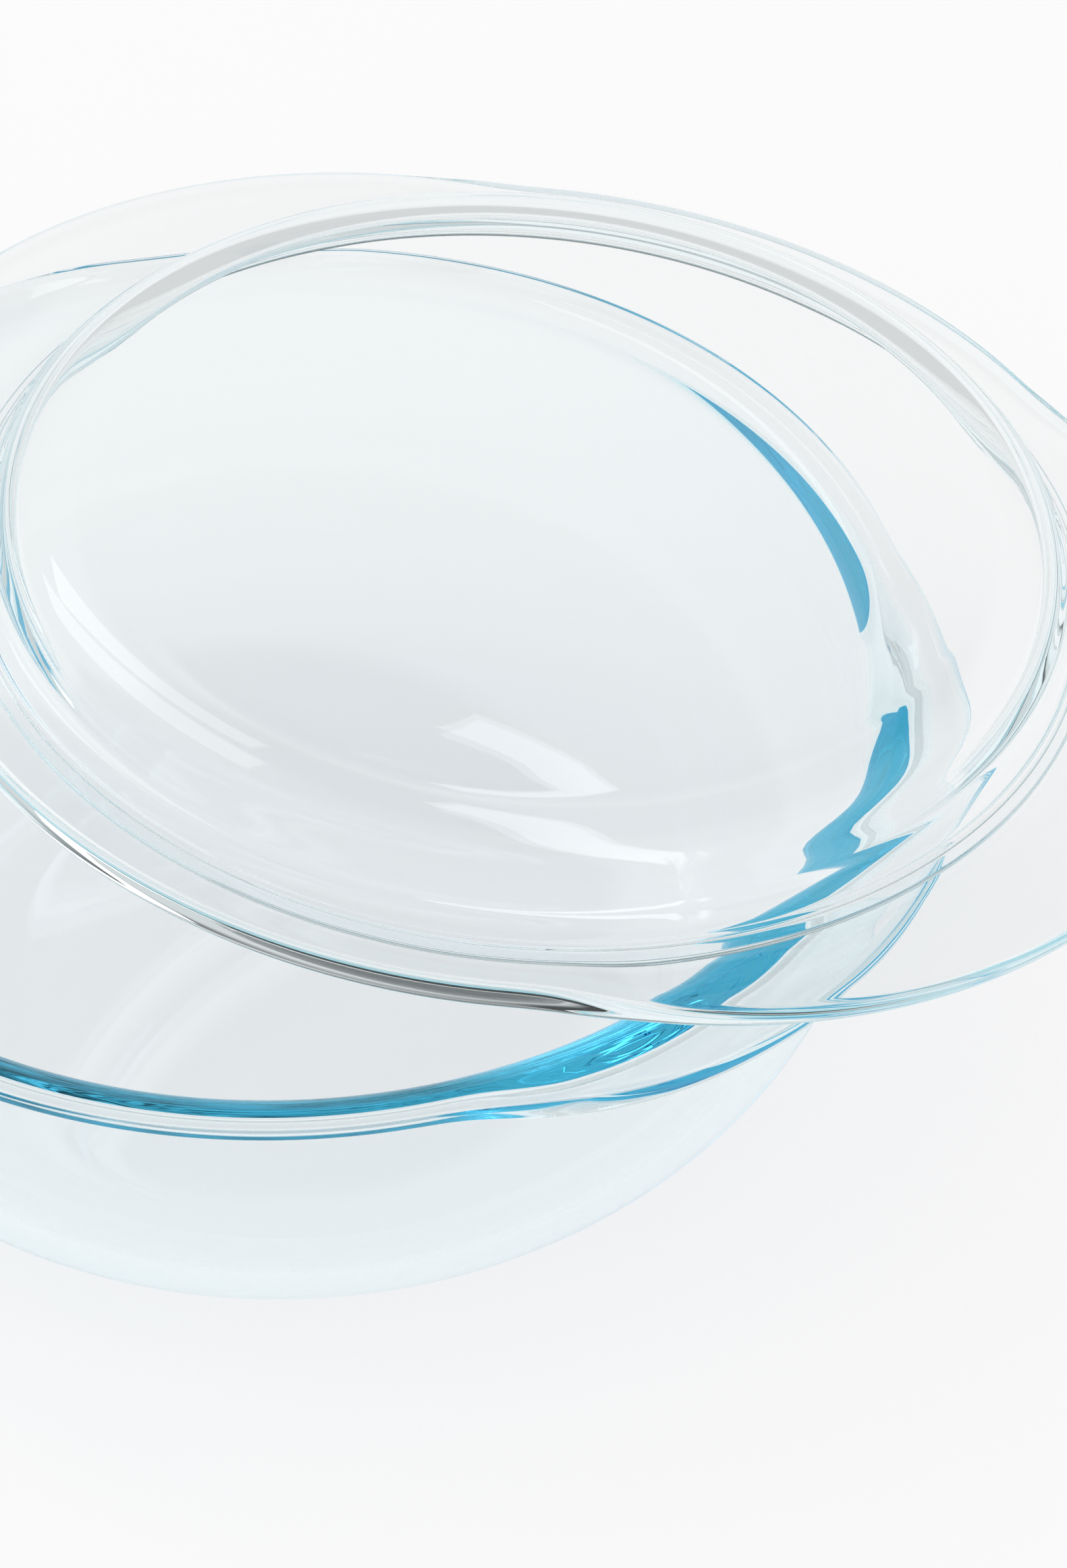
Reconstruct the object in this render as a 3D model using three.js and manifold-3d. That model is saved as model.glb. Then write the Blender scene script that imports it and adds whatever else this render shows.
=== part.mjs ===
// A round pressed-glass casserole: a deep eared dish, and its eared dome lid lying askew across the rim.
// Millimetres. +Z is up, the origin is the centre of the dish's flat base, and the dish's ears point along X.
import * as THREE from "three";
import { mergeVertices } from "three/addons/utils/BufferGeometryUtils.js";
import Module from "manifold-3d";

const turnSteps = 64; // flats round a turned surface
const degrees = Math.PI / 180;

// The dish
const dishHeight = 82;
const rimRadius = 110.6; // outside of the flared rim
const rimThickness = 2.5;
const rimOverhang = 5.5; // rim beyond the wall below it
const rimInnerRound = 5.5; // curve from the bowl's inside to the rim's top
const rimFillet = 3; // hollow curve under the rim
const dishWall = 4.5;
const baseCurve = 55; // outside radius of the curve from wall to base
const dishEarReach = 11.4; // ear beyond the rim
const dishEarArc = 90; // radius of the ear's outer edge, seen from above
const dishEarThickness = 4.5;
const dishEarDrop = 2.5; // ear's top below the rim's top

// The lid, in its own frame: z = 0 is the underside of its flange
const lidInset = 1.1; // the flange stops this far inside the rim's outside
const flangeThickness = 5;
const flangeTopRound = 1.8;
const flangeWidth = 9.6; // from the foot of the dome's fillet to the edge
const flangeFillet = 5;
const domeHeight = 22; // top of the dome above the flange's underside
const shoulderCurve = 16; // outside radius of the dome's shoulder
const lidWall = 5;
const mouthChamferWidth = 5.2; // the dome's inside opens out by this at its mouth
const lipClearance = 0.9; // locating lip inside the bowl
const lipWidth = 2.7;
const lipDepth = 1.5;
const lidEarReach = 17;
const lidEarArc = 98;
const lidEarThickness = 4.5;

// Shared by both pieces
const earFillet = 18; // hollow curve where an ear leaves the round edge
const earEdge = 2; // rounding of an ear's edge
const cornerRound = 0.8; // small pressed corners
const overlap = 0.4; // an ear starts this far inside the edge that it grows from
const restingGap = 0.3; // left between the lid and what it rests on

// How the lid lies on the dish
const lidShift = new THREE.Vector2(26.6, 37.9);
const lidTurn = 1 * degrees; // lid's ears from the dish's ears

const wallRadius = rimRadius - rimOverhang;
const bowlRadius = wallRadius - dishWall;
const baseRadius = wallRadius - baseCurve;
const rimRound = rimThickness / 2;
const lidRadius = rimRadius - lidInset;
const lipOuter = bowlRadius - lipClearance;
const lipInner = lipOuter - lipWidth;
const shoulderCentreHeight = domeHeight - shoulderCurve;

const wasm = await Module();
wasm.setup();

// Points of an arc, both ends included; angles in degrees.
function arc(x, y, radius, from, to, steps) {
  return Array.from({ length: steps + 1 }, (_, i) => {
    const angle = (from + ((to - from) * i) / steps) * degrees;
    return new THREE.Vector2(x + radius * Math.cos(angle), y + radius * Math.sin(angle));
  });
}

// A closed geometry as a manifold-3d solid.
function toSolid(geometry) {
  geometry.deleteAttribute("normal");
  geometry.deleteAttribute("uv");
  const merged = mergeVertices(geometry, 1e-4);
  const index = merged.index.array;
  const triVerts = [];
  for (let i = 0; i < index.length; i += 3) {
    const [a, b, c] = [index[i], index[i + 1], index[i + 2]];
    if (a !== b && b !== c && c !== a) triVerts.push(a, b, c);
  }
  return new wasm.Manifold(
    new wasm.Mesh({
      numProp: 3,
      vertProperties: merged.attributes.position.array,
      triVerts: new Uint32Array(triVerts),
    }),
  );
}

function toGeometry(solid) {
  const mesh = solid.getMesh();
  return new THREE.BufferGeometry()
    .setAttribute("position", new THREE.BufferAttribute(mesh.vertProperties, 3))
    .setIndex(new THREE.BufferAttribute(mesh.triVerts, 1));
}

// A solid turned about Z from a profile of (radius, height) points that starts and ends on the axis.
function turned(profile) {
  return toSolid(new THREE.LatheGeometry(profile, turnSteps).rotateX(Math.PI / 2));
}

// One ear along +X: a plate with a rounded edge. Its outline is an arc that hollow fillets lead back
// to the round edge, and its inner end is buried in the glass between buriedRadius and edgeRadius.
function ear({ edgeRadius, buriedRadius, reach, arcRadius, thickness }) {
  const rootRadius = edgeRadius - overlap;
  const arcCentre = edgeRadius + reach - arcRadius;
  const filletDistance = rootRadius + earFillet;
  const rootCosine =
    (filletDistance ** 2 + arcCentre ** 2 - (arcRadius + earFillet) ** 2) / (2 * arcCentre * filletDistance);
  const rootAngle = Math.acos(rootCosine);
  const filletX = filletDistance * Math.cos(rootAngle);
  const filletY = filletDistance * Math.sin(rootAngle);
  const arcEnd = Math.atan2(filletY, filletX - arcCentre) / degrees;
  const root = rootAngle / degrees;
  const outline = [
    ...arc(0, 0, buriedRadius, -root, root, 14),
    ...arc(filletX, filletY, earFillet, root + 180, arcEnd + 180, 3),
    ...arc(arcCentre, 0, arcRadius, arcEnd, -arcEnd, 22).slice(1, -1),
    ...arc(filletX, -filletY, earFillet, 180 - arcEnd, 180 - root, 3),
  ];
  return new THREE.ExtrudeGeometry(new THREE.Shape(outline), {
    depth: thickness - 2 * earEdge,
    bevelThickness: earEdge,
    bevelSize: earEdge,
    bevelOffset: -earEdge,
    bevelSegments: 2,
  }).translate(0, 0, earEdge);
}

// Adds the two opposite ears of a piece, their undersides at the given height.
function withEars(solid, underside, sizes) {
  return [0, Math.PI].reduce((whole, angle) => {
    const one = ear(sizes).translate(0, 0, underside).rotateZ(angle);
    return whole.add(toSolid(one));
  }, solid);
}

// Bowl with a flat base, one wide curve up to the wall, and a flared rim.
function dishSolid() {
  const rimCentreHeight = dishHeight - rimRound;
  const rimUnderside = dishHeight - rimThickness;
  const body = turned([
    new THREE.Vector2(0, 0),
    ...arc(baseRadius, baseCurve, baseCurve, -90, 0, 9),
    ...arc(wallRadius + rimFillet, rimUnderside - rimFillet, rimFillet, 180, 90, 4),
    ...arc(rimRadius - rimRound, rimCentreHeight, rimRound, -90, 90, 6),
    ...arc(bowlRadius + rimInnerRound, dishHeight - rimInnerRound, rimInnerRound, 90, 180, 5),
    ...arc(baseRadius, baseCurve, baseCurve - dishWall, 0, -90, 8),
    new THREE.Vector2(0, dishWall),
  ]);
  return withEars(body, dishHeight - dishEarDrop - dishEarThickness, {
    edgeRadius: rimRadius,
    buriedRadius: bowlRadius + 1,
    reach: dishEarReach,
    arcRadius: dishEarArc,
    thickness: dishEarThickness,
  });
}

// Dome with a flat top and a round shoulder, a round-edged flange, and a locating lip under the flange.
function lidSolid() {
  const filletFoot = lidRadius - flangeWidth;
  const filletHeight = flangeThickness + flangeFillet;
  const span = shoulderCurve + flangeFillet;
  const rise = filletHeight - shoulderCentreHeight;
  const shoulderRadius = filletFoot - Math.sqrt(span ** 2 - rise ** 2);
  const meeting = Math.asin(rise / span) / degrees;
  const insideCurve = shoulderCurve - lidWall;
  const mouthRadius = shoulderRadius + insideCurve + mouthChamferWidth;
  const body = turned([
    new THREE.Vector2(0, domeHeight - lidWall),
    ...arc(shoulderRadius, shoulderCentreHeight, insideCurve, 90, 0, 4),
    ...arc(mouthRadius + cornerRound, cornerRound, cornerRound, 180, 270, 2),
    new THREE.Vector2(lipInner, 0),
    ...arc(lipInner + cornerRound, cornerRound - lipDepth, cornerRound, 180, 270, 2),
    ...arc(lipOuter - cornerRound, cornerRound - lipDepth, cornerRound, -90, 0, 2),
    new THREE.Vector2(lipOuter, 0),
    ...arc(lidRadius - cornerRound, cornerRound, cornerRound, -90, 0, 2),
    ...arc(lidRadius - flangeTopRound, flangeThickness - flangeTopRound, flangeTopRound, 0, 90, 4),
    ...arc(filletFoot, filletHeight, flangeFillet, 270, 180 + meeting, 3),
    ...arc(shoulderRadius, shoulderCentreHeight, shoulderCurve, meeting, 90, 5).slice(1),
    new THREE.Vector2(0, domeHeight),
  ]);
  return withEars(body, 0, {
    edgeRadius: lidRadius,
    buriedRadius: filletFoot,
    reach: lidEarReach,
    arcRadius: lidEarArc,
    thickness: lidEarThickness,
  });
}

// The point where two circles cross, on the left of the way from the first centre to the second.
function crossing(centreA, radiusA, centreB, radiusB) {
  const between = centreB.clone().sub(centreA);
  const distance = between.length();
  const along = (distance ** 2 + radiusA ** 2 - radiusB ** 2) / (2 * distance);
  const aside = Math.sqrt(radiusA ** 2 - along ** 2);
  const forward = between.divideScalar(distance);
  const left = new THREE.Vector2(-forward.y, forward.x);
  return centreA.clone().addScaledVector(forward, along).addScaledVector(left, aside);
}

// The askew lid stands on three points: its lip crosses the rim twice and one dish ear once.
// Gives the lid's place and attitude with its lip a small gap above all three.
function lidPlacement() {
  const middle = new THREE.Vector2(0, 0);
  const rimLine = rimRadius - rimRound;
  const lipLine = lipInner + cornerRound;
  const earCentre = new THREE.Vector2(rimRadius + dishEarReach - dishEarArc, 0);
  const earLine = dishEarArc - earEdge;
  const onRim = crossing(middle, rimLine, lidShift, lipLine);
  const onRimToo = crossing(lidShift, lipLine, middle, rimLine);
  const onEar = crossing(lidShift, lipLine, earCentre, earLine);
  const a = new THREE.Vector3(onRim.x, onRim.y, dishHeight);
  const b = new THREE.Vector3(onRimToo.x, onRimToo.y, dishHeight);
  const c = new THREE.Vector3(onEar.x, onEar.y, dishHeight - dishEarDrop);
  const normal = b.clone().sub(a).cross(c.clone().sub(a)).normalize();
  if (normal.z < 0) normal.negate();
  const lipHeight = a.z + (normal.x * (a.x - lidShift.x) + normal.y * (a.y - lidShift.y)) / normal.z;
  const lean = new THREE.Quaternion().setFromUnitVectors(new THREE.Vector3(0, 0, 1), normal);
  const turn = new THREE.Quaternion().setFromAxisAngle(new THREE.Vector3(0, 0, 1), lidTurn);
  return {
    position: new THREE.Vector3(lidShift.x, lidShift.y, lipHeight).addScaledVector(normal, lipDepth + restingGap),
    quaternion: lean.multiply(turn),
  };
}

function glass(color) {
  return new THREE.MeshStandardMaterial({
    color,
    roughness: 0.03,
    metalness: 0,
    transparent: true,
    opacity: 0.35,
  });
}

const casserole = new THREE.Group();

const dish = new THREE.Mesh(toGeometry(dishSolid()), glass(0xdbe8ee));
dish.name = "dish";

const lid = new THREE.Mesh(toGeometry(lidSolid()), glass(0xe1ebef));
lid.name = "lid";
const placement = lidPlacement();
lid.position.copy(placement.position);
lid.quaternion.copy(placement.quaternion);

casserole.add(dish, lid);

export default casserole;
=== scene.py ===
# A clear pressed-glass casserole with its lid lying askew across the rim, on a pale table.
# Metres, +Z up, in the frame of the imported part.
import math

import bpy
from mathutils import Matrix, Vector, noise


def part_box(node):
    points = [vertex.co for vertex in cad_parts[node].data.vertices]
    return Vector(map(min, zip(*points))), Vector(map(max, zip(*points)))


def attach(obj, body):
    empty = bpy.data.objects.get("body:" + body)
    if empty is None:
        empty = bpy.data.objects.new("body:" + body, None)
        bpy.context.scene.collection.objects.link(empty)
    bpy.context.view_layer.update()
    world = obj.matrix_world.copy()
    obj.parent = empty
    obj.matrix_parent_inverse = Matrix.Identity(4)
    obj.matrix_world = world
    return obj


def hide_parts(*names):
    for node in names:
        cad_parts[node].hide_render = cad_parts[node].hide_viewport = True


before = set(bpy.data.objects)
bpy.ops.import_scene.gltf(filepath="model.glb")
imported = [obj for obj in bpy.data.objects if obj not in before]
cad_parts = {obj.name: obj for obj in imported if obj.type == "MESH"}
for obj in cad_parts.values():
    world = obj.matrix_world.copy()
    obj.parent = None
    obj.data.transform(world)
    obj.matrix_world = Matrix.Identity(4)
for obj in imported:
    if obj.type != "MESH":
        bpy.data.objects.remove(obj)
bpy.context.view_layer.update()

MM = 0.001

# The dish, in millimetres
RIM_THICKNESS = 2.5
RIM_OVERHANG = 5.5
RIM_INNER_ROUND = 5.5
RIM_TOP_ROUND = 0.8
RIM_UNDER_ROUND = 0.6
DISH_WALL = 4.5
BASE_CURVE = 55.0
DISH_EAR_ARC = 90.0
DISH_EAR_THICKNESS = 4.5
DISH_EAR_DROP = 2.5
RIM_FILLET = 3.0
DISH_EAR_FILLET = 4.5
EAR_SLOPE_WIDTH = 2.5  # the rim's top has eased down to the ear's this far beyond the rim
EDGE_MARGIN = 0.2  # and at least this far before the rounded edge

# The lid, in millimetres, its own frame at the middle of its flange's underside
LID_INSET = 1.12  # the flange stops this far inside the rim's outside
EAR_INSET = 0.02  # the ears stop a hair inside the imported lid's
FLANGE_THICKNESS = 5.0
FLANGE_TOP_ROUND = 1.8
FLANGE_UNDER_ROUND = 0.6
FLANGE_WIDTH = 9.6
FLANGE_FILLET = 5.0
DOME_HEIGHT = 22.0
DOME_CROWN = 1.0  # how far the dome's top has dropped at the crown's radius
CROWN_RADIUS = 90.0
CROWN_START = 12.0  # the crown and the unevenness fade in over this height
CROWN_FADE = 5.0
SHOULDER_CURVE = 16.0
LID_WALL = 5.0
MOUTH_CHAMFER_WIDTH = 5.2
MOUTH_ROUND = 1.2
LIP_OUTER = 99.7
LIP_INNER = 97.0
LIP_DEPTH = 1.5
LIP_ROUND = 0.6
LIP_FILLET = 0.4  # hollow corner between the lip and the flange's underside
EAR_ROUND_MARGIN = 0.02  # keeps a straight hair between an ear's two roundings
LID_EAR_ARC = 98.0
LID_EAR_THICKNESS = 4.0

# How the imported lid's place is read off its mesh
UPWARD = 0.95  # a face that looks up has at least this much of Z in its normal
TOP_TOLERANCE = 0.02
TIP_TOLERANCE = 0.01

# Both
EAR_BLEND = 2.6  # how softly an ear leaves the round edge
EAR_RISE = 5.0  # an ear has its own section once it reaches this far beyond the round edge
EAR_DROP_RISE = 8.5  # and the dish's ear is at its lowest once it reaches this far
TURN_STEPS = 1080
WAVE_SIZE = 42.0  # the slow unevenness of pressed glass
WAVE_HEIGHT = 0.10
OUTSIDE_SEED = 3.7
INSIDE_SEED = 8.1
INSIDE_BELOW = 18.0  # points of the dome's top lower than this are its inside

# Glass
GLASS_IOR = 1.474
DISH_DENSITY = 7.0  # how strongly the glass colours the light, per metre
LID_DENSITY = 3.5
GLASS_KEEPS = (0.0, 0.785, 0.94)  # the colour that a long way through glass leaves
LIGHT_BOUNCES = 160
CLEAR_BOUNCES = 24
SHADOW_KEEPS = (0.978, 0.968, 0.972)  # share of a lamp's light that passes each surface
HAZE_SCALE = 60.0
HAZE_DETAIL = 3.0
HAZE_RANGE = (0.45, 0.75)
HAZE_ROUGHNESS = 0.012

# The light, in metres and watts: an even pale room with one dark panel overhead, and two lamps
ROOM_WHITE = 0.68
PANEL_WHITE = 0.01
PANEL_TOWARDS = Vector((0.02, 0.32, 0.95)).normalized()
PANEL_RADIUS = math.radians(27.0)
PANEL_FADE = math.radians(40.0)
LEFT_LAMP_PLACE = (-2.4, 0.4, 3.2)
LEFT_LAMP_SIZE = (0.8, 2.6)
LEFT_LAMP_POWER = 13.0
FILL_PLACE = (0.0, 0.0, 3.0)
FILL_SIZE = (3.0, 3.0)
FILL_POWER = 27.0

# The table, in metres
TABLE_SIZE = 16.0
TABLE_COLOUR = (0.955, 0.95, 0.95)
TABLE_ROUGHNESS = 0.9
TABLE_LIFT = 0.235  # the table's white, only where it is seen
TABLE_GAP = 0.0001  # air stays between glass and table, so the base still reflects inside

# The camera, in metres, with its sensor and lens in millimetres
CAMERA_PLACE = Vector((0.4226, -0.6451, 0.8038))
CAMERA_PITCH = math.radians(45.69)
CAMERA_HEADING = math.radians(30.0)
CAMERA_LENS = 139.4
CAMERA_SENSOR = 36.0
CAMERA_CLIP = 0.01


def mix(a, b, share):
    return a + (b - a) * share


def smooth_step(x):
    x = min(max(x, 0.0), 1.0)
    return x * x * (3.0 - 2.0 * x)


def arc(x, y, radius, start, end, steps):
    """Points of an arc, both ends included; angles in degrees."""
    points = []
    for i in range(steps + 1):
        angle = math.radians(start + (end - start) * i / steps)
        points.append((x + radius * math.cos(angle), y + radius * math.sin(angle)))
    return points


def line(start, end, steps):
    """Points along a straight line, without its ends."""
    return [
        (mix(start[0], end[0], i / steps), mix(start[1], end[1], i / steps))
        for i in range(1, steps)
    ]


def reach(angle, round_edge, ear_tip, ear_arc):
    """Radius of the outer edge at an angle: the round edge, or the ear's arc where it is further out."""
    centre = ear_tip - ear_arc
    along = centre * abs(math.cos(angle))
    across = centre * math.sin(angle)
    ear_edge = along + math.sqrt(ear_arc * ear_arc - across * across)
    near = max(EAR_BLEND - abs(ear_edge - round_edge), 0.0) / EAR_BLEND
    return max(ear_edge, round_edge) + near * near * near * EAR_BLEND / 6.0


def dish_section(edge, rim_radius, height):
    """The dish's section for one edge radius, from the middle inside to the middle underneath."""
    wall_radius = rim_radius - RIM_OVERHANG
    bowl_radius = wall_radius - DISH_WALL
    base_radius = wall_radius - BASE_CURVE
    beyond = edge - rim_radius
    share = smooth_step(beyond / EAR_RISE)
    top = height - DISH_EAR_DROP * smooth_step(beyond / EAR_DROP_RISE)
    thickness = mix(RIM_THICKNESS, DISH_EAR_THICKNESS, share)
    top_round = mix(RIM_TOP_ROUND, thickness / 2, share)
    under_round = mix(RIM_UNDER_ROUND, thickness / 2, share)
    fillet = mix(RIM_FILLET, DISH_EAR_FILLET, share)
    underside = top - thickness
    points = line((0.0, DISH_WALL), (base_radius, DISH_WALL), 9)
    points += arc(base_radius, BASE_CURVE, BASE_CURVE - DISH_WALL, -90, 0, 30)
    flat_start = bowl_radius + RIM_INNER_ROUND
    inner_rim = arc(flat_start, height - RIM_INNER_ROUND, RIM_INNER_ROUND, 180, 90, 14)
    points += line(points[-1], inner_rim[0], 5)
    points += inner_rim
    step_end = min(rim_radius + EAR_SLOPE_WIDTH, edge - top_round - EDGE_MARGIN)
    for i in range(1, 9):
        t = i / 8
        points.append((mix(flat_start, step_end, t), mix(height, top, smooth_step(t))))
    points += arc(edge - top_round, top - top_round, top_round, 90, 0, 8)
    points += line(points[-1], (edge, underside + under_round - 0.01), 3)
    points += arc(edge - under_round, underside + under_round, under_round, 0, -90, 8)
    points += line(points[-1], (wall_radius + fillet, underside), 5)
    points += arc(wall_radius + fillet, underside - fillet, fillet, 90, 180, 10)
    outer_curve = arc(base_radius, BASE_CURVE, BASE_CURVE, 0, -90, 32)
    points += line(points[-1], outer_curve[0], 5)
    points += outer_curve
    points += line(outer_curve[-1], (0.0, 0.0), 9)
    return points, (0.0, DISH_WALL), (0.0, 0.0)


def lid_section(edge, lid_radius):
    """The lid's section from the top of its dome round its edge to the middle of its inside."""
    share = smooth_step((edge - lid_radius) / EAR_RISE)
    thickness = mix(FLANGE_THICKNESS, LID_EAR_THICKNESS, share)
    shoulder_height = DOME_HEIGHT - SHOULDER_CURVE
    fillet_foot = lid_radius - FLANGE_WIDTH
    fillet_height = FLANGE_THICKNESS + FLANGE_FILLET
    span = SHOULDER_CURVE + FLANGE_FILLET
    rise = fillet_height - shoulder_height
    shoulder_radius = fillet_foot - math.sqrt(span * span - rise * rise)
    meeting = math.degrees(math.asin(rise / span))
    inside_curve = SHOULDER_CURVE - LID_WALL
    mouth_radius = shoulder_radius + inside_curve + MOUTH_CHAMFER_WIDTH
    points = line((0.0, DOME_HEIGHT), (shoulder_radius, DOME_HEIGHT), 14)
    points += arc(shoulder_radius, shoulder_height, SHOULDER_CURVE, 90, meeting, 20)
    points += arc(fillet_foot, fillet_height, FLANGE_FILLET, 180 + meeting, 270, 12)[1:]
    top_round = mix(FLANGE_TOP_ROUND, thickness / 2, share)
    under_round = mix(FLANGE_UNDER_ROUND, thickness / 2 - EAR_ROUND_MARGIN, share)
    for i in range(1, 10):
        t = i / 9
        height = mix(FLANGE_THICKNESS, thickness, smooth_step(t))
        points.append((mix(fillet_foot, edge - top_round, t), height))
    points += arc(edge - top_round, thickness - top_round, top_round, 90, 0, 12)[1:]
    points += line(points[-1], (edge, under_round), 3)
    points += arc(edge - under_round, under_round, under_round, 0, -90, 12)
    points += line(points[-1], (LIP_OUTER + LIP_FILLET, 0.0), 6)
    points += arc(LIP_OUTER + LIP_FILLET, -LIP_FILLET, LIP_FILLET, 90, 180, 4)
    points += arc(LIP_OUTER - LIP_ROUND, LIP_ROUND - LIP_DEPTH, LIP_ROUND, 0, -90, 6)
    points += arc(LIP_INNER + LIP_ROUND, LIP_ROUND - LIP_DEPTH, LIP_ROUND, 270, 180, 6)
    points += arc(LIP_INNER - LIP_FILLET, -LIP_FILLET, LIP_FILLET, 0, 90, 4)
    points += arc(mouth_radius + MOUTH_ROUND, MOUTH_ROUND, MOUTH_ROUND, 270, 180, 8)
    inner_wall = arc(shoulder_radius, shoulder_height, inside_curve, 0, 90, 18)
    points += line(points[-1], inner_wall[0], 7)
    points += inner_wall
    inside_top = DOME_HEIGHT - LID_WALL
    points += line((shoulder_radius, inside_top), (0.0, inside_top), 14)
    return points, (0.0, DOME_HEIGHT), (0.0, inside_top)


def loft(name, section_at, edge_at, shape):
    """A closed surface turned about Z, whose section follows the edge radius at each angle."""
    vertices = []
    faces = []
    first = None
    for turn in range(TURN_STEPS):
        angle = 2 * math.pi * turn / TURN_STEPS
        points, first, last = section_at(edge_at(angle))
        for radius, height in points:
            place = Vector((radius * math.cos(angle), radius * math.sin(angle), height))
            vertices.append(shape(place))
    count = len(vertices) // TURN_STEPS
    for turn in range(TURN_STEPS):
        here = turn * count
        there = ((turn + 1) % TURN_STEPS) * count
        for i in range(count - 1):
            faces.append((here + i, here + i + 1, there + i + 1, there + i))
    start = len(vertices)
    vertices.append(shape(Vector((0.0, 0.0, first[1]))))
    vertices.append(shape(Vector((0.0, 0.0, last[1]))))
    for turn in range(TURN_STEPS):
        here = turn * count
        there = ((turn + 1) % TURN_STEPS) * count
        faces.append((start, here, there))
        faces.append((start + 1, there + count - 1, here + count - 1))
    mesh = bpy.data.meshes.new(name)
    mesh.from_pydata([tuple(v * MM) for v in vertices], [], faces)
    mesh.validate()
    mesh.update()
    mesh.shade_smooth()
    return mesh


def volume_of(mesh):
    total = 0.0
    mesh.calc_loop_triangles()
    for triangle in mesh.loop_triangles:
        a, b, c = (mesh.vertices[i].co for i in triangle.vertices)
        total += a.dot(b.cross(c)) / 6.0
    return total


def wave(place, seed):
    """Slow unevenness of a pressed surface, from -1 to 0."""
    at = place / WAVE_SIZE + Vector((seed, 2.0 * seed, 0.0))
    return (noise.noise(at) - 1.0) / 2.0


def lid_shape(place):
    """The dome's top is slightly crowned and uneven, never above its full height."""
    radius = math.hypot(place.x, place.y)
    share = smooth_step((place.z - CROWN_START) / CROWN_FADE)
    crown = -DOME_CROWN * min(radius / CROWN_RADIUS, 1.0) ** 2
    seed = OUTSIDE_SEED if place.z > INSIDE_BELOW else INSIDE_SEED
    uneven = WAVE_HEIGHT * wave(place, seed)
    return Vector((place.x, place.y, place.z + share * (crown + uneven)))


def glass_material(name, keeps, density):
    """Clear glass with a blue-green body. Lamps shine through it, so that its shadow is faint."""
    material = bpy.data.materials.new(name)
    material.use_nodes = True
    tree = material.node_tree
    shader = tree.nodes["Principled BSDF"]
    shader.inputs["Base Color"].default_value = (1.0, 1.0, 1.0, 1.0)
    shader.inputs["Transmission Weight"].default_value = 1.0
    shader.inputs["IOR"].default_value = GLASS_IOR
    place = tree.nodes.new("ShaderNodeTexCoord")
    cloud = tree.nodes.new("ShaderNodeTexNoise")
    cloud.inputs["Scale"].default_value = HAZE_SCALE
    cloud.inputs["Detail"].default_value = HAZE_DETAIL
    tree.links.new(place.outputs["Object"], cloud.inputs["Vector"])
    haze = tree.nodes.new("ShaderNodeMapRange")
    haze.inputs["From Min"].default_value = HAZE_RANGE[0]
    haze.inputs["From Max"].default_value = HAZE_RANGE[1]
    haze.inputs["To Min"].default_value = 0.0
    haze.inputs["To Max"].default_value = HAZE_ROUGHNESS
    tree.links.new(cloud.outputs["Fac"], haze.inputs["Value"])
    tree.links.new(haze.outputs["Result"], shader.inputs["Roughness"])
    volume = tree.nodes.new("ShaderNodeVolumeAbsorption")
    volume.inputs["Color"].default_value = (*keeps, 1.0)
    volume.inputs["Density"].default_value = density
    path = tree.nodes.new("ShaderNodeLightPath")
    lit_through = tree.nodes.new("ShaderNodeMath")
    lit_through.operation = "MAXIMUM"
    tree.links.new(path.outputs["Is Shadow Ray"], lit_through.inputs[0])
    tree.links.new(path.outputs["Is Diffuse Ray"], lit_through.inputs[1])
    clear = tree.nodes.new("ShaderNodeBsdfTransparent")
    clear.inputs["Color"].default_value = (*SHADOW_KEEPS, 1.0)
    either = tree.nodes.new("ShaderNodeMixShader")
    tree.links.new(lit_through.outputs[0], either.inputs[0])
    tree.links.new(shader.outputs["BSDF"], either.inputs[1])
    tree.links.new(clear.outputs["BSDF"], either.inputs[2])
    out = tree.nodes["Material Output"]
    tree.links.new(either.outputs["Shader"], out.inputs["Surface"])
    tree.links.new(volume.outputs["Volume"], out.inputs["Volume"])
    return material


# The camera, so that everything else can be judged in its view.
camera = bpy.data.objects.new("camera", bpy.data.cameras.new("camera"))
bpy.context.scene.collection.objects.link(camera)
camera.location = CAMERA_PLACE
camera.rotation_euler = (CAMERA_PITCH, 0.0, CAMERA_HEADING)
camera.data.sensor_fit = "VERTICAL"
camera.data.sensor_height = CAMERA_SENSOR
camera.data.lens = CAMERA_LENS
camera.data.clip_start = CAMERA_CLIP
bpy.context.scene.camera = camera

# The dish.
dish_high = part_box("dish")[1]
ear_tip = dish_high.x / MM
rim_radius = dish_high.y / MM
dish_height = dish_high.z / MM
dish_mesh = loft(
    "dish_glass",
    lambda edge: dish_section(edge, rim_radius, dish_height),
    lambda angle: reach(angle, rim_radius, ear_tip, DISH_EAR_ARC),
    lambda place: place,
)
if volume_of(dish_mesh) < 0:
    dish_mesh.flip_normals()
dish = bpy.data.objects.new("dish_glass", dish_mesh)
bpy.context.scene.collection.objects.link(dish)
dish_mesh.materials.append(glass_material("dish_glass", GLASS_KEEPS, DISH_DENSITY))

# The lid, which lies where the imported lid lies: its upward normal is that of the widest flat face,
# its axis goes through the middle of the dome's top, and its ears are its furthest points.
lid_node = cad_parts["lid"]
upward = [face for face in lid_node.data.polygons if face.normal.z > UPWARD]
lid_normal = max(upward, key=lambda face: face.area).normal.normalized()
corners = [v.co.copy() for v in lid_node.data.vertices]
lid_top = max(corner.dot(lid_normal) for corner in corners)
on_top = [corner for corner in corners if corner.dot(lid_normal) > lid_top - TOP_TOLERANCE * MM]
top_middle = sum(on_top, Vector()) / len(on_top)
lid_origin = top_middle - lid_normal * DOME_HEIGHT * MM


def from_axis(corner):
    out = corner - top_middle
    return out - lid_normal * out.dot(lid_normal)


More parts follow.
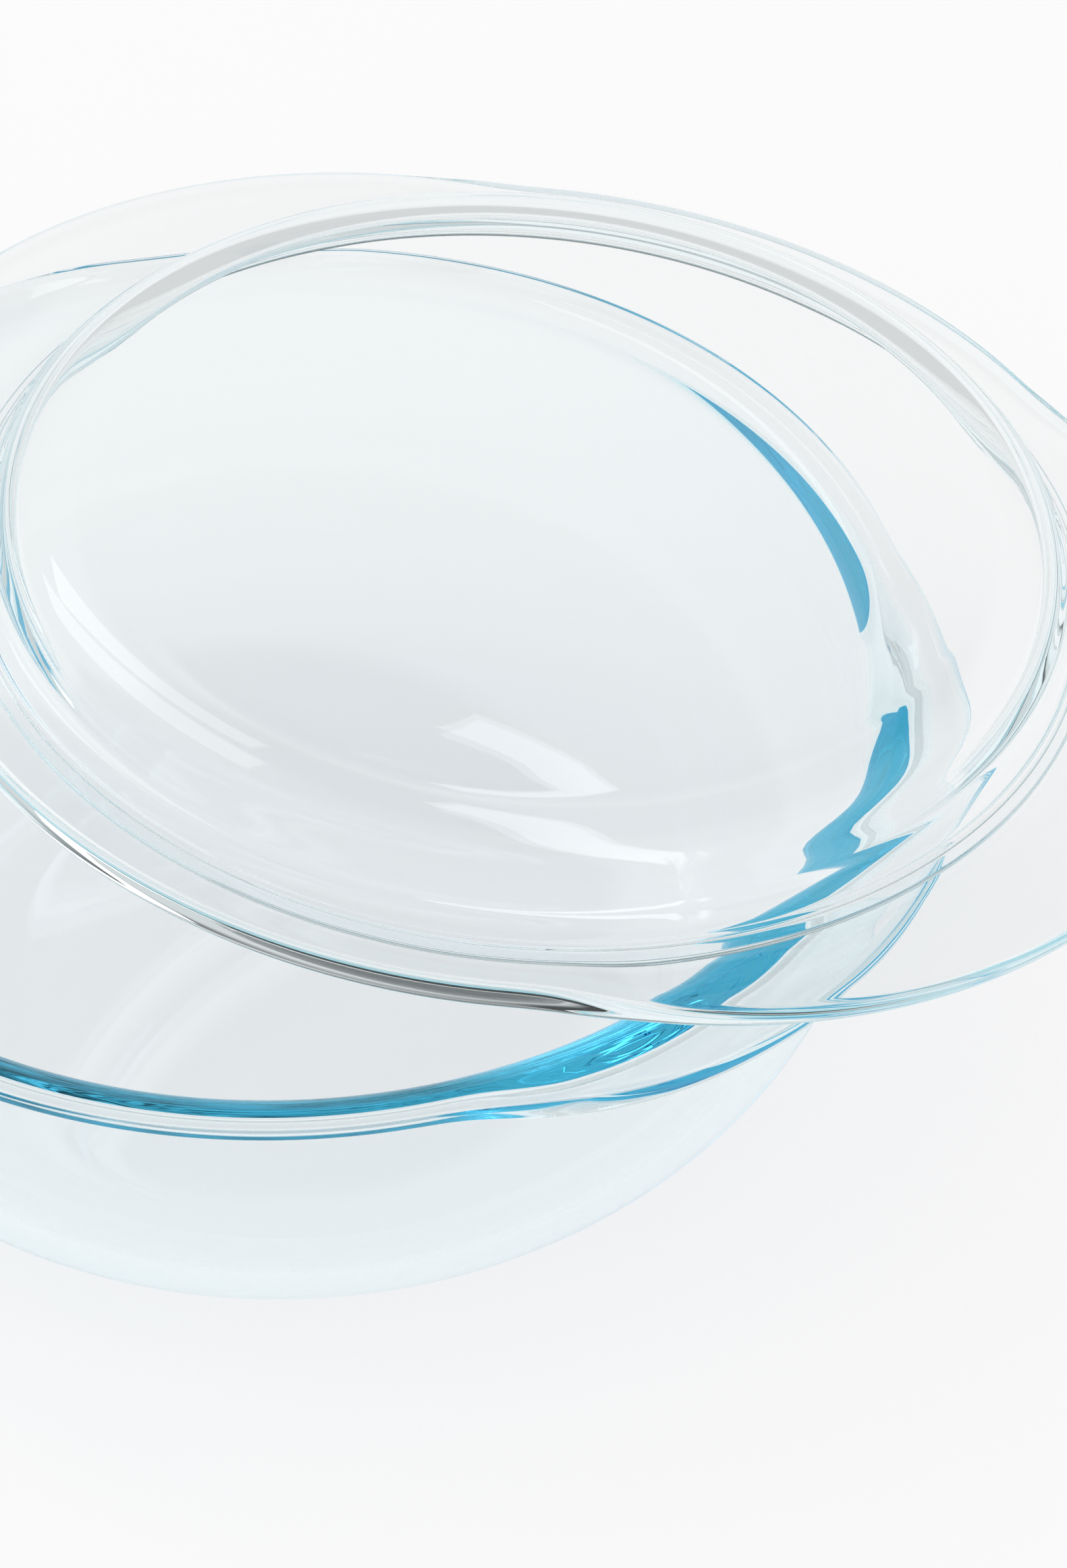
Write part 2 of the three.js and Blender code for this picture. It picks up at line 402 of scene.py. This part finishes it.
lid_ear_tip = max(from_axis(corner).length for corner in corners) / MM - EAR_INSET
lid_radius = rim_radius - LID_INSET
furthest = (lid_ear_tip + EAR_INSET - TIP_TOLERANCE) * MM
tips = [corner for corner in corners if from_axis(corner).length > furthest]
lid_along = from_axis(max(tips, key=lambda corner: corner.x)).normalized()
lid_across = lid_normal.cross(lid_along)
lid_matrix = Matrix((lid_along, lid_across, lid_normal)).transposed().to_4x4()
lid_matrix.translation = lid_origin
lid_mesh = loft(
    "lid_glass",
    lambda edge: lid_section(edge, lid_radius),
    lambda angle: reach(angle, lid_radius, lid_ear_tip, LID_EAR_ARC),
    lid_shape,
)
if volume_of(lid_mesh) < 0:
    lid_mesh.flip_normals()
lid_mesh.transform(lid_matrix)
lid = bpy.data.objects.new("lid_glass", lid_mesh)
bpy.context.scene.collection.objects.link(lid)
lid_mesh.materials.append(glass_material("lid_glass", GLASS_KEEPS, LID_DENSITY))

for piece, node in ((dish, "dish"), (lid, "lid")):
    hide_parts(node)
    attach(piece, node)


def table_material():
    """Matt and pale. Some white is added only where it is seen, straight or in glass."""
    material = bpy.data.materials.new("table")
    material.use_nodes = True
    tree = material.node_tree
    shader = tree.nodes["Principled BSDF"]
    shader.inputs["Base Color"].default_value = (*TABLE_COLOUR, 1.0)
    shader.inputs["Roughness"].default_value = TABLE_ROUGHNESS
    shader.inputs["Specular IOR Level"].default_value = 0.0
    path = tree.nodes.new("ShaderNodeLightPath")
    seen = tree.nodes.new("ShaderNodeMath")
    seen.operation = "MAXIMUM"
    tree.links.new(path.outputs["Is Camera Ray"], seen.inputs[0])
    tree.links.new(path.outputs["Is Glossy Ray"], seen.inputs[1])
    seen_too = tree.nodes.new("ShaderNodeMath")
    seen_too.operation = "MAXIMUM"
    tree.links.new(seen.outputs[0], seen_too.inputs[0])
    tree.links.new(path.outputs["Is Transmission Ray"], seen_too.inputs[1])
    lift = tree.nodes.new("ShaderNodeMath")
    lift.operation = "MULTIPLY"
    lift.inputs[1].default_value = TABLE_LIFT
    tree.links.new(seen_too.outputs[0], lift.inputs[0])
    shader.inputs["Emission Color"].default_value = (1.0, 1.0, 1.0, 1.0)
    tree.links.new(lift.outputs[0], shader.inputs["Emission Strength"])
    return material


def area_light(name, place, size, power):
    """A rectangular lamp that faces the origin."""
    light = bpy.data.lights.new(name, "AREA")
    light.shape = "RECTANGLE"
    light.size, light.size_y = size
    light.energy = power
    lamp = bpy.data.objects.new(name, light)
    bpy.context.scene.collection.objects.link(lamp)
    lamp.location = place
    lamp.rotation_euler = (-Vector(place)).to_track_quat("-Z", "Y").to_euler()
    return lamp


bpy.ops.mesh.primitive_plane_add(size=TABLE_SIZE, location=(0.0, 0.0, -TABLE_GAP))
table = bpy.context.object
table.name = "table"
table.data.materials.append(table_material())

area_light("light_left", LEFT_LAMP_PLACE, LEFT_LAMP_SIZE, LEFT_LAMP_POWER)

# Soft light from above for the table; glass does not mirror it.
fill = area_light("fill", FILL_PLACE, FILL_SIZE, FILL_POWER)
fill.visible_glossy = False
fill.visible_transmission = False

# The even room and its dark panel.
world = bpy.data.worlds.new("studio")
bpy.context.scene.world = world
world.use_nodes = True
world_nodes = world.node_tree.nodes
world_links = world.node_tree.links
background = world_nodes["Background"]
background.inputs["Color"].default_value = (1.0, 1.0, 1.0, 1.0)
direction = world_nodes.new("ShaderNodeTexCoord")
towards_panel = world_nodes.new("ShaderNodeVectorMath")
towards_panel.operation = "DOT_PRODUCT"
towards_panel.inputs[1].default_value = PANEL_TOWARDS
world_links.new(direction.outputs["Generated"], towards_panel.inputs[0])
fade = world_nodes.new("ShaderNodeMapRange")
fade.interpolation_type = "SMOOTHSTEP"
fade.inputs["From Min"].default_value = math.cos(PANEL_FADE)
fade.inputs["From Max"].default_value = math.cos(PANEL_RADIUS)
fade.inputs["To Min"].default_value = ROOM_WHITE
fade.inputs["To Max"].default_value = PANEL_WHITE
world_links.new(towards_panel.outputs["Value"], fade.inputs["Value"])
world_links.new(fade.outputs["Result"], background.inputs["Strength"])

# Light goes a long way round inside a rim before it comes out.
cycles = bpy.context.scene.cycles
cycles.max_bounces = LIGHT_BOUNCES
cycles.glossy_bounces = LIGHT_BOUNCES
cycles.transmission_bounces = LIGHT_BOUNCES
cycles.transparent_max_bounces = CLEAR_BOUNCES
bpy.context.scene.view_settings.view_transform = "Standard"
